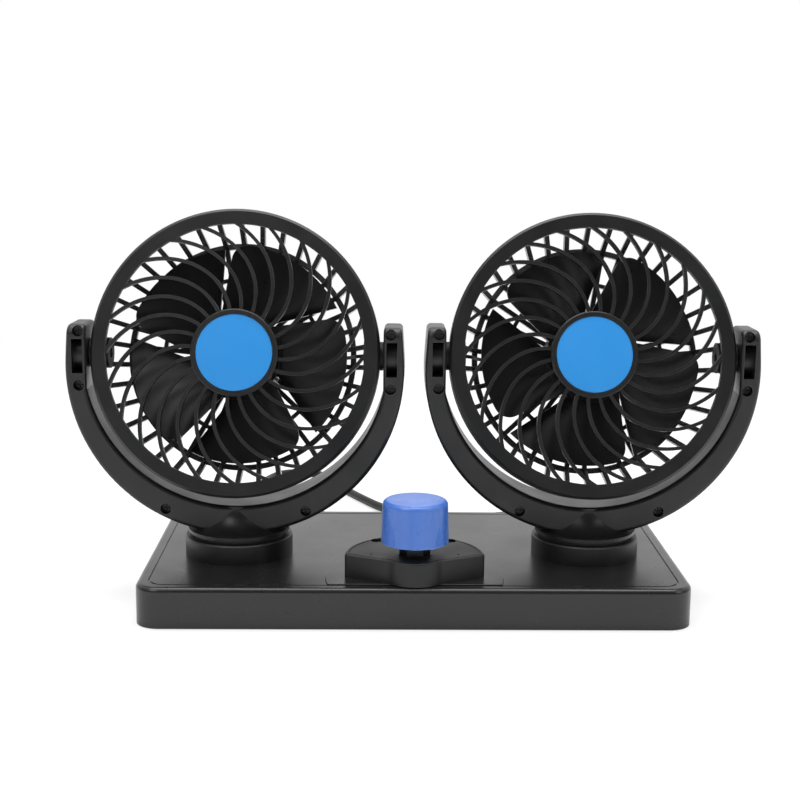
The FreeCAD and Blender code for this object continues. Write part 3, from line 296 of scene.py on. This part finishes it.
def rangeOf(tree, value, low, high, place):
    ramp = addNode(tree, "ShaderNodeMapRange", place)
    ramp.inputs["From Min"].default_value = noiseSpan[0]
    ramp.inputs["From Max"].default_value = noiseSpan[1]
    ramp.inputs["To Min"].default_value = low
    ramp.inputs["To Max"].default_value = high
    tree.links.new(value, ramp.inputs["Value"])
    return ramp.outputs["Result"]


def mouldedPlastic(name, s):
    mat = bpy.data.materials.new(name)
    mat.use_nodes = True
    tree = mat.node_tree
    bsdf = tree.nodes["Principled BSDF"]
    skin = placeGroup(tree, mouldSkin, (-1100, 100), Skin_Scale=s["skinScale"], Cloud_Scale=s["cloudScale"],
                      Gloss_Scale=s["glossScale"])
    rubAndHighlight = placeGroup(tree, edgeRub, (-1100, -200), Width=s["rubAndHighlightWidth"], Break_Scale=s["rubAndHighlightScale"])
    dust = placeGroup(tree, dustVeil, (-1100, -450), Speck_Scale=s["dustScale"], Amount=s["dust"])
    body = mixColour(tree, skin.outputs["Cloud"], s["dark"], s["light"], (-800, 200))
    # lighter edges: rub wear together with a painted highlight along the edges
    wornAndHighlight = mixColour(tree, rubAndHighlight.outputs["Rub"], body, s["wornAndHighlight"], (-600, 150))
    dusty = mixColour(tree, dust.outputs["Dust"], wornAndHighlight, s["dustTone"], (-400, 100))
    tree.links.new(dusty, bsdf.inputs["Base Color"])
    rough = rangeOf(tree, skin.outputs["Gloss"], s["smooth"], s["rough"], (-600, -100))
    veil = addNode(tree, "ShaderNodeMath", (-400, -150), operation="MULTIPLY_ADD", use_clamp=True)
    veil.inputs[1].default_value = dustDulls
    tree.links.new(dust.outputs["Dust"], veil.inputs[0])
    tree.links.new(rough, veil.inputs[2])
    tree.links.new(veil.outputs["Value"], bsdf.inputs["Roughness"])
    bump = addNode(tree, "ShaderNodeBump", (-300, -400))
    bump.inputs["Strength"].default_value = s["bump"]
    bump.inputs["Distance"].default_value = s["bumpDepth"]
    tree.links.new(skin.outputs["Skin"], bump.inputs["Height"])
    tree.links.new(bump.outputs["Normal"], bsdf.inputs["Normal"])
    bsdf.inputs["Specular IOR Level"].default_value = s["specular"]
    return mat


def addPaintedFacetStreaks(mat, s):
    # soft upright streaks of lighter blue: painted highlights for the light on the knob's facets
    tree = mat.node_tree
    bsdf = tree.nodes["Principled BSDF"]
    body = bsdf.inputs["Base Color"].links[0].from_socket
    coords = addNode(tree, "ShaderNodeTexCoord", (-1300, 700))
    squeeze = addNode(tree, "ShaderNodeMapping", (-1100, 700))
    squeeze.inputs["Scale"].default_value = (1, 1, s["along"])
    streak = addNode(tree, "ShaderNodeTexNoise", (-900, 700))
    streak.inputs["Scale"].default_value = s["scale"]
    streak.inputs["Detail"].default_value = 2
    tree.links.new(coords.outputs["Object"], squeeze.inputs["Vector"])
    tree.links.new(squeeze.outputs["Vector"], streak.inputs["Vector"])
    share = rangeOf(tree, streak.outputs["Fac"], 0.0, s["share"], (-700, 700))
    tree.links.new(mixColour(tree, share, body, s["tone"], (-200, 500)), bsdf.inputs["Base Color"])


glossBlack = mouldedPlastic("glossBlack", {
    "dark": (0.007, 0.007, 0.0075), "light": (0.012, 0.012, 0.0125), "wornAndHighlight": (0.06, 0.06, 0.062),
    "dustTone": (0.12, 0.12, 0.12), "dust": 0.02, "dustScale": 1100, "rubAndHighlightWidth": 0.0006, "rubAndHighlightScale": 260,
    "skinScale": 2200, "cloudScale": 16, "glossScale": 40, "smooth": 0.24, "rough": 0.33, "bump": 0.14,
    "bumpDepth": 0.00005, "specular": 0.42})
satinBlack = mouldedPlastic("satinBlack", {
    "dark": (0.006, 0.006, 0.0065), "light": (0.011, 0.011, 0.0115), "wornAndHighlight": (0.05, 0.05, 0.052),
    "dustTone": (0.12, 0.12, 0.12), "dust": 0.05, "dustScale": 900, "rubAndHighlightWidth": 0.0005, "rubAndHighlightScale": 300,
    "skinScale": 2600, "cloudScale": 24, "glossScale": 70, "smooth": 0.34, "rough": 0.46, "bump": 0.24,
    "bumpDepth": 0.00006, "specular": 0.40})
matteBlack = mouldedPlastic("matteBlack", {
    "dark": (0.008, 0.008, 0.009), "light": (0.014, 0.014, 0.015), "wornAndHighlight": (0.05, 0.05, 0.05),
    "dustTone": (0.12, 0.12, 0.12), "dust": 0.1, "dustScale": 900, "rubAndHighlightWidth": 0.0005, "rubAndHighlightScale": 300,
    "skinScale": 1900, "cloudScale": 30, "glossScale": 80, "smooth": 0.48, "rough": 0.62, "bump": 0.35,
    "bumpDepth": 0.00008, "specular": 0.4})
bladeBlack = mouldedPlastic("bladeBlack", {
    "dark": (0.006, 0.006, 0.0064), "light": (0.010, 0.010, 0.0105), "wornAndHighlight": (0.022, 0.022, 0.022),
    "dustTone": (0.05, 0.05, 0.05), "dust": 0.02, "dustScale": 1100, "rubAndHighlightWidth": 0.0004, "rubAndHighlightScale": 300,
    "skinScale": 2400, "cloudScale": 34, "glossScale": 90, "smooth": 0.26, "rough": 0.36, "bump": 0.12,
    "bumpDepth": 0.00005, "specular": 0.2})
islandBlack = mouldedPlastic("islandBlack", {
    "dark": (0.006, 0.006, 0.0065), "light": (0.011, 0.011, 0.0115), "wornAndHighlight": (0.05, 0.05, 0.052),
    "dustTone": (0.12, 0.12, 0.12), "dust": 0.02, "dustScale": 1100, "rubAndHighlightWidth": 0.0006, "rubAndHighlightScale": 300,
    "skinScale": 2300, "cloudScale": 30, "glossScale": 70, "smooth": 0.42, "rough": 0.55, "bump": 0.28,
    "bumpDepth": 0.00007, "specular": 0.38})
capBlue = mouldedPlastic("capBlue", {
    "dark": (0.020, 0.230, 0.61), "light": (0.031, 0.270, 0.67), "wornAndHighlight": (0.10, 0.38, 0.78),
    "dustTone": (0.25, 0.40, 0.62), "dust": 0.05, "dustScale": 900, "rubAndHighlightWidth": 0.0004, "rubAndHighlightScale": 200,
    "skinScale": 2600, "cloudScale": 40, "glossScale": 90, "smooth": 0.40, "rough": 0.52, "bump": 0.15,
    "bumpDepth": 0.00005, "specular": 0.3})
# the knob's light edge colour is mostly a painted highlight on the rim of its top
knobBlue = mouldedPlastic("knobBlue", {
    "dark": (0.032, 0.110, 0.42), "light": (0.050, 0.150, 0.52), "wornAndHighlight": (0.30, 0.44, 0.82),
    "dustTone": (0.3, 0.4, 0.62), "dust": 0.03, "dustScale": 1100, "rubAndHighlightWidth": 0.0007, "rubAndHighlightScale": 90,
    "skinScale": 1800, "cloudScale": 60, "glossScale": 110, "smooth": 0.24, "rough": 0.34, "bump": 0.22,
    "bumpDepth": 0.00006, "specular": 0.4})
# the rear guard is black plastic; its colour is lifted to dark grey as painted light, for the bright lit
# look of its ribs
guardGreyPaintedLight = mouldedPlastic("guardGreyPaintedLight", {
    "dark": (0.042, 0.042, 0.043), "light": (0.064, 0.064, 0.066), "wornAndHighlight": (0.14, 0.14, 0.14),
    "dustTone": (0.15, 0.15, 0.15), "dust": 0.06, "dustScale": 900, "rubAndHighlightWidth": 0.0005, "rubAndHighlightScale": 300,
    "skinScale": 2600, "cloudScale": 24, "glossScale": 70, "smooth": 0.24, "rough": 0.34, "bump": 0.18,
    "bumpDepth": 0.00006, "specular": 0.6})
cordRubber = mouldedPlastic("cordRubber", {
    "dark": (0.004, 0.004, 0.004), "light": (0.008, 0.008, 0.008), "wornAndHighlight": (0.03, 0.03, 0.03),
    "dustTone": (0.1, 0.1, 0.1), "dust": 0.03, "dustScale": 800, "rubAndHighlightWidth": 0.0003, "rubAndHighlightScale": 200,
    "skinScale": 1500, "cloudScale": 40, "glossScale": 120, "smooth": 0.36, "rough": 0.5, "bump": 0.2,
    "bumpDepth": 0.00006, "specular": 0.25})
padRubber = mouldedPlastic("padRubber", {
    "dark": (0.015, 0.015, 0.015), "light": (0.03, 0.03, 0.03), "wornAndHighlight": (0.06, 0.06, 0.06),
    "dustTone": (0.15, 0.15, 0.15), "dust": 0.1, "dustScale": 700, "rubAndHighlightWidth": 0.0004, "rubAndHighlightScale": 200,
    "skinScale": 900, "cloudScale": 40, "glossScale": 120, "smooth": 0.7, "rough": 0.9, "bump": 0.6,
    "bumpDepth": 0.0002, "specular": 0.3})
leadRed = mouldedPlastic("leadRed", {
    "dark": (0.38, 0.02, 0.015), "light": (0.5, 0.03, 0.02), "wornAndHighlight": (0.6, 0.1, 0.08),
    "dustTone": (0.5, 0.3, 0.3), "dust": 0.05, "dustScale": 800, "rubAndHighlightWidth": 0.0003, "rubAndHighlightScale": 200,
    "skinScale": 1500, "cloudScale": 40, "glossScale": 120, "smooth": 0.4, "rough": 0.55, "bump": 0.15,
    "bumpDepth": 0.00005, "specular": 0.4})
boardGreen = mouldedPlastic("boardGreen", {
    "dark": (0.02, 0.10, 0.035), "light": (0.03, 0.15, 0.05), "wornAndHighlight": (0.3, 0.25, 0.12),
    "dustTone": (0.2, 0.3, 0.2), "dust": 0.1, "dustScale": 600, "rubAndHighlightWidth": 0.0004, "rubAndHighlightScale": 200,
    "skinScale": 700, "cloudScale": 80, "glossScale": 120, "smooth": 0.3, "rough": 0.45, "bump": 0.2,
    "bumpDepth": 0.00008, "specular": 0.4})
# painted highlight streaks on the knob's grip, for its lit facets
addPaintedFacetStreaks(knobBlue, {"along": 0.03, "scale": 260, "share": 0.24, "tone": (0.15, 0.28, 0.66)})
print("plastics ready")


# metals

metalSettings = {"rubAndHighlightScale": 400, "bump": 0.15, "bumpDepth": 0.00004}


def drawnMetal(name, s):
    mat = bpy.data.materials.new(name)
    mat.use_nodes = True
    tree = mat.node_tree
    bsdf = tree.nodes["Principled BSDF"]
    coords = addNode(tree, "ShaderNodeTexCoord", (-1300, 0))
    stretch = addNode(tree, "ShaderNodeMapping", (-1100, 0))
    stretch.inputs["Scale"].default_value = s["stretch"]
    drawn = addNode(tree, "ShaderNodeTexNoise", (-900, 0))
    drawn.inputs["Scale"].default_value = s["lineScale"]
    drawn.inputs["Detail"].default_value = 5
    tree.links.new(coords.outputs["Object"], stretch.inputs["Vector"])
    tree.links.new(stretch.outputs["Vector"], drawn.inputs["Vector"])
    rubAndHighlight = placeGroup(tree, edgeRub, (-900, -300), Width=s["rubAndHighlightWidth"], Break_Scale=metalSettings["rubAndHighlightScale"])
    tone = mixColour(tree, drawn.outputs["Fac"], s["dark"], s["light"], (-650, 150))
    # lighter edges: wear together with a painted highlight along the edges
    wornAndHighlight = mixColour(tree, rubAndHighlight.outputs["Rub"], tone, s["wornAndHighlight"], (-400, 150))
    rough = rangeOf(tree, drawn.outputs["Fac"], s["smooth"], s["rough"], (-650, -50))
    tree.links.new(wornAndHighlight, bsdf.inputs["Base Color"])
    tree.links.new(rough, bsdf.inputs["Roughness"])
    bump = addNode(tree, "ShaderNodeBump", (-300, -350))
    bump.inputs["Strength"].default_value = metalSettings["bump"]
    bump.inputs["Distance"].default_value = metalSettings["bumpDepth"]
    tree.links.new(drawn.outputs["Fac"], bump.inputs["Height"])
    tree.links.new(bump.outputs["Normal"], bsdf.inputs["Normal"])
    bsdf.inputs["Metallic"].default_value = s["metallic"]
    return mat


brightSteel = drawnMetal("brightSteel", {
    "dark": (0.50, 0.50, 0.50), "light": (0.66, 0.66, 0.65), "wornAndHighlight": (0.75, 0.75, 0.74),
    "stretch": (1, 1, 0.1), "lineScale": 1800, "rubAndHighlightWidth": 0.0002,
    "smooth": 0.2, "rough": 0.34, "metallic": 1.0})
motorSteel = drawnMetal("motorSteel", {
    "dark": (0.40, 0.40, 0.40), "light": (0.56, 0.56, 0.55), "wornAndHighlight": (0.68, 0.68, 0.67),
    "stretch": (1, 0.1, 1), "lineScale": 900, "rubAndHighlightWidth": 0.0003,
    "smooth": 0.28, "rough": 0.42, "metallic": 1.0})
switchPlate = drawnMetal("switchPlate", {
    "dark": (0.46, 0.45, 0.42), "light": (0.62, 0.61, 0.58), "wornAndHighlight": (0.72, 0.72, 0.7),
    "stretch": (1, 1, 0.2), "lineScale": 1500, "rubAndHighlightWidth": 0.0002,
    "smooth": 0.22, "rough": 0.36, "metallic": 1.0})
contactPlate = drawnMetal("contactPlate", {
    "dark": (0.58, 0.57, 0.54), "light": (0.70, 0.69, 0.66), "wornAndHighlight": (0.62, 0.48, 0.26),
    "stretch": (0.1, 1, 1), "lineScale": 1400, "rubAndHighlightWidth": 0.0002,
    "smooth": 0.12, "rough": 0.24, "metallic": 1.0})
darkSteel = drawnMetal("darkSteel", {
    "dark": (0.012, 0.012, 0.013), "light": (0.022, 0.022, 0.023), "wornAndHighlight": (0.08, 0.08, 0.08),
    "stretch": (1, 1, 1), "lineScale": 1600, "rubAndHighlightWidth": 0.0002,
    "smooth": 0.32, "rough": 0.46, "metallic": 0.6})
print("metals ready")


# finishes on the CAD pieces

finishes = {
    "base_housing": glossBlack, "left_post": satinBlack, "right_post": satinBlack, "base_cover": matteBlack,
    "grip_pad": padRubber, "base_screws": brightSteel, "control_island": islandBlack,
    "island_screws": darkSteel, "rotary_switch": switchPlate, "switch_shaft": switchPlate,
    "switch_nut": darkSteel, "knob": knobBlue, "speed_board": boardGreen, "inner_leads": leadRed,
    "cord_gland": cordRubber, "coil_tie": matteBlack, "plug_body": matteBlack, "plug_nose": glossBlack,
    "plug_contacts": contactPlate, "plug_tip": contactPlate,
}
headFinishes = {
    "swivel_stem": matteBlack, "swivel_nut": matteBlack, "swivel_washer": matteBlack,
    "yoke_front": satinBlack, "yoke_rear": satinBlack, "yoke_screws": darkSteel, "yoke_lead": leadRed,
    "front_grille": satinBlack, "hub_cap": capBlue, "rear_guard": guardGreyPaintedLight, "pivot_pins": matteBlack,
    "motor": motorSteel, "motor_screws": darkSteel, "motor_cover": satinBlack, "motor_lead": cordRubber,
    "motor_shaft": brightSteel, "impeller": bladeBlack,
}
for side in ("left_", "right_"):
    finishes.update({side + piece: finish for piece, finish in headFinishes.items()})


def dress(piece, finish):
    piece.data.materials.clear()
    piece.data.materials.append(finish)


for name, finish in finishes.items():
    dress(nodes[name], finish)
dress(cord, cordRubber)
print("finishes on", len(finishes), "pieces")


# stage and light

stageSettings = {
    "floorSize": 8.0, "floorTone": (0.9, 0.9, 0.9), "nearGlow": 0.66, "nearReach": 0.30, "farReach": 0.75,
    "farGlow": 1.0, "skyFront": 0.12, "skyBack": 1.15, "roomStart": -0.2, "roomEnd": 1.1,
}


def makeStage(s):
    mesh = bpy.data.meshes.new("floor")
    half = s["floorSize"] / 2
    corners = [(-half, -half, 0), (half, -half, 0), (half, half, 0), (-half, half, 0)]
    mesh.from_pydata(corners, [], [(0, 1, 2, 3)])
    floor = bpy.data.objects.new("floor", mesh)
    scene.collection.objects.link(floor)
    mat = bpy.data.materials.new("paleFloor")
    mat.use_nodes = True
    tree = mat.node_tree
    bsdf = tree.nodes["Principled BSDF"]
    bsdf.inputs["Base Color"].default_value = s["floorTone"] + (1,)
    bsdf.inputs["Roughness"].default_value = 0.9
    bsdf.inputs["Specular IOR Level"].default_value = 0.0
    glow = addNode(tree, "ShaderNodeEmission", (0, -200))
    coords = addNode(tree, "ShaderNodeTexCoord", (-900, -100))
    away = addNode(tree, "ShaderNodeVectorMath", (-700, -100), operation="LENGTH")
    level = addNode(tree, "ShaderNodeMapRange", (-500, -100), interpolation_type="SMOOTHSTEP")
    level.inputs["From Min"].default_value = s["nearReach"]
    level.inputs["From Max"].default_value = s["farReach"]
    level.inputs["To Min"].default_value = s["nearGlow"]
    level.inputs["To Max"].default_value = s["farGlow"]
    paths = addNode(tree, "ShaderNodeLightPath", (-500, 200))
    share = addNode(tree, "ShaderNodeMath", (-100, 200), operation="MULTIPLY")
    mix = addNode(tree, "ShaderNodeMixShader", (250, 0))
    tree.links.new(coords.outputs["Object"], away.inputs[0])
    tree.links.new(away.outputs["Value"], level.inputs["Value"])
    tree.links.new(paths.outputs["Is Camera Ray"], share.inputs[0])
    tree.links.new(level.outputs["Result"], share.inputs[1])
    tree.links.new(share.outputs["Value"], mix.inputs["Fac"])
    tree.links.new(bsdf.outputs["BSDF"], mix.inputs[1])
    tree.links.new(glow.outputs["Emission"], mix.inputs[2])
    tree.links.new(mix.outputs["Shader"], tree.nodes["Material Output"].inputs["Surface"])
    mesh.materials.append(mat)


def makeSky(s):
    # white behind the object, a darker room in front of it
    world = bpy.data.worlds.new("studio")
    scene.world = world
    world.use_nodes = True
    tree = world.node_tree
    back = tree.nodes["Background"]
    back.inputs["Color"].default_value = (1, 1, 1, 1)
    coords = addNode(tree, "ShaderNodeTexCoord", (-1100, -200))
    parts = addNode(tree, "ShaderNodeSeparateXYZ", (-900, -200))
    lift = addNode(tree, "ShaderNodeMath", (-700, -200), operation="ADD")
    room = addNode(tree, "ShaderNodeMapRange", (-500, -200), interpolation_type="SMOOTHSTEP")
    room.inputs["From Min"].default_value = s["roomStart"]
    room.inputs["From Max"].default_value = s["roomEnd"]
    room.inputs["To Min"].default_value = s["skyFront"]
    room.inputs["To Max"].default_value = s["skyBack"]
    paths = addNode(tree, "ShaderNodeLightPath", (-700, 100))
    seen = addNode(tree, "ShaderNodeMath", (-500, 100), operation="MAXIMUM")
    level = addNode(tree, "ShaderNodeMapRange", (-200, 0))
    level.inputs["To Max"].default_value = 1.0
    tree.links.new(coords.outputs["Generated"], parts.inputs[0])
    tree.links.new(parts.outputs["Y"], lift.inputs[0])
    tree.links.new(parts.outputs["Z"], lift.inputs[1])
    tree.links.new(lift.outputs["Value"], room.inputs["Value"])
    tree.links.new(paths.outputs["Is Camera Ray"], seen.inputs[0])
    tree.links.new(paths.outputs["Is Transmission Ray"], seen.inputs[1])
    tree.links.new(seen.outputs["Value"], level.inputs["Value"])
    tree.links.new(room.outputs["Result"], level.inputs["To Min"])
    tree.links.new(level.outputs["Result"], back.inputs["Strength"])


lampSettings = [
    {"name": "keySoftbox", "place": (-0.70, -0.80, 1.00), "aim": (0, 0, 0.08),
     "size": (0.6, 0.6), "power": 6.0},
    {"name": "fillSoftbox", "place": (0.95, -0.60, 0.70), "aim": (0, 0, 0.08),
     "size": (0.5, 0.6), "power": 2.8},
    {"name": "topSoftbox", "place": (0.0, 0.10, 1.15), "aim": (0, 0, 0.05),
     "size": (1.1, 0.7), "power": 12.0},
]


def makeLamp(s):
    data = bpy.data.lights.new(s["name"], "AREA")
    data.shape = "RECTANGLE"
    data.size, data.size_y = s["size"]
    data.energy = s["power"]
    lamp = bpy.data.objects.new(s["name"], data)
    lamp.location = s["place"]
    lamp.rotation_euler = (Vector(s["aim"]) - Vector(s["place"])).to_track_quat("-Z", "Y").to_euler()
    scene.collection.objects.link(lamp)


makeStage(stageSettings)
makeSky(stageSettings)
for lamp in lampSettings:
    makeLamp(lamp)
print("stage lit")
